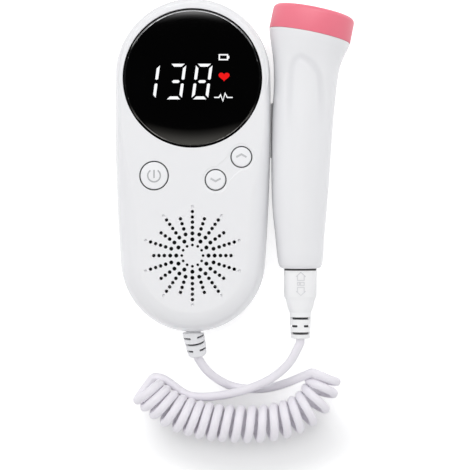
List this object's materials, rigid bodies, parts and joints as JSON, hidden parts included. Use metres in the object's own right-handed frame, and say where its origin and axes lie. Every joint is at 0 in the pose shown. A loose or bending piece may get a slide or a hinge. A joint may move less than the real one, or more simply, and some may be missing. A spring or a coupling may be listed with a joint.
{
  "type": "fetal doppler monitor",
  "caption": "Pocket doppler handset with round digital display, push buttons and rayed speaker grille, and a pink-capped ultrasound probe on a curly cord.",
  "frame": {"origin": "on the handset's flat back, straight behind the middle of its round head", "axes": "+Z out of the display, +Y up the handset towards the display's end, +X to the side where the probe is parked"},
  "size_m": [0.1022, 0.1912, 0.0371],
  "materials": {
    "housing_white": "satin gloss moulded white",
    "soft_white": "fine matt moulded white",
    "window_black": "polished smoked black",
    "plastic_black": "matt black",
    "cap_pink": "satin pink",
    "cord_lilac": "smooth pale lilac-white jacket",
    "board_green": "green solder resist",
    "steel": "bright plated",
    "cell_wrap": "plain dark blue wrap",
    "crystal_silver": "silvered ceramic",
    "epoxy_grey": "cast grey epoxy"
  },
  "bodies": {
    "handset": {"front_cover": "housing_white", "rear_cover": "housing_white", "cover_screw_1": "steel", "cover_screw_2": "steel", "cover_screw_3": "steel", "cover_screw_4": "steel", "display_window": "window_black", "display_module": "plastic_black", "main_board": "board_green", "power_switch": "plastic_black", "volume_down_switch": "plastic_black", "volume_up_switch": "plastic_black", "speaker": "plastic_black", "battery_cell_1": "cell_wrap", "battery_cell_2": "cell_wrap", "battery_contact_top": "steel", "battery_contact_foot": "steel", "probe_cradle": "housing_white", "cradle_magnet": "steel", "cord_gland": "soft_white", "lead_from_handset": "cord_lilac", "lead_coil": "cord_lilac", "lead_to_plug": "cord_lilac"},
    "power_button": {"power_button": "soft_white"},
    "volume_down_button": {"volume_down_button": "soft_white"},
    "volume_up_button": {"volume_up_button": "soft_white"},
    "battery_door": {"battery_door": "housing_white"},
    "plug": {"plug_body": "soft_white", "plug_nose": "steel", "plug_relief": "soft_white"},
    "probe": {"probe_handle": "housing_white", "probe_cap": "cap_pink", "crystal_transmit": "crystal_silver", "crystal_receive": "crystal_silver", "crystal_backing": "epoxy_grey", "probe_socket": "plastic_black", "probe_board": "board_green", "probe_magnet": "steel"}
  },
  "joints": [
    {"name": "power_press", "type": "slide", "parent": "handset", "child": "power_button", "axis": [0, 0, -1], "range_m": [0, 0.0005], "stiffness_N_per_m": 3200},
    {"name": "volume_down_press", "type": "slide", "parent": "handset", "child": "volume_down_button", "axis": [0, 0, -1], "range_m": [0, 0.0005], "stiffness_N_per_m": 3200},
    {"name": "volume_up_press", "type": "slide", "parent": "handset", "child": "volume_up_button", "axis": [0, 0, -1], "range_m": [0, 0.0005], "stiffness_N_per_m": 3200},
    {"name": "battery_door_lift", "type": "slide", "parent": "handset", "child": "battery_door", "axis": [0, 0, -1], "range_m": [0, 0.02]},
    {"name": "cradle_release", "type": "slide", "parent": "handset", "child": "plug", "axis": [1, 0, 0], "range_m": [0, 0.045]},
    {"name": "plug_release", "type": "slide", "parent": "plug", "child": "probe", "axis": [0, 1, 0], "range_m": [0, 0.0095]}
  ]
}
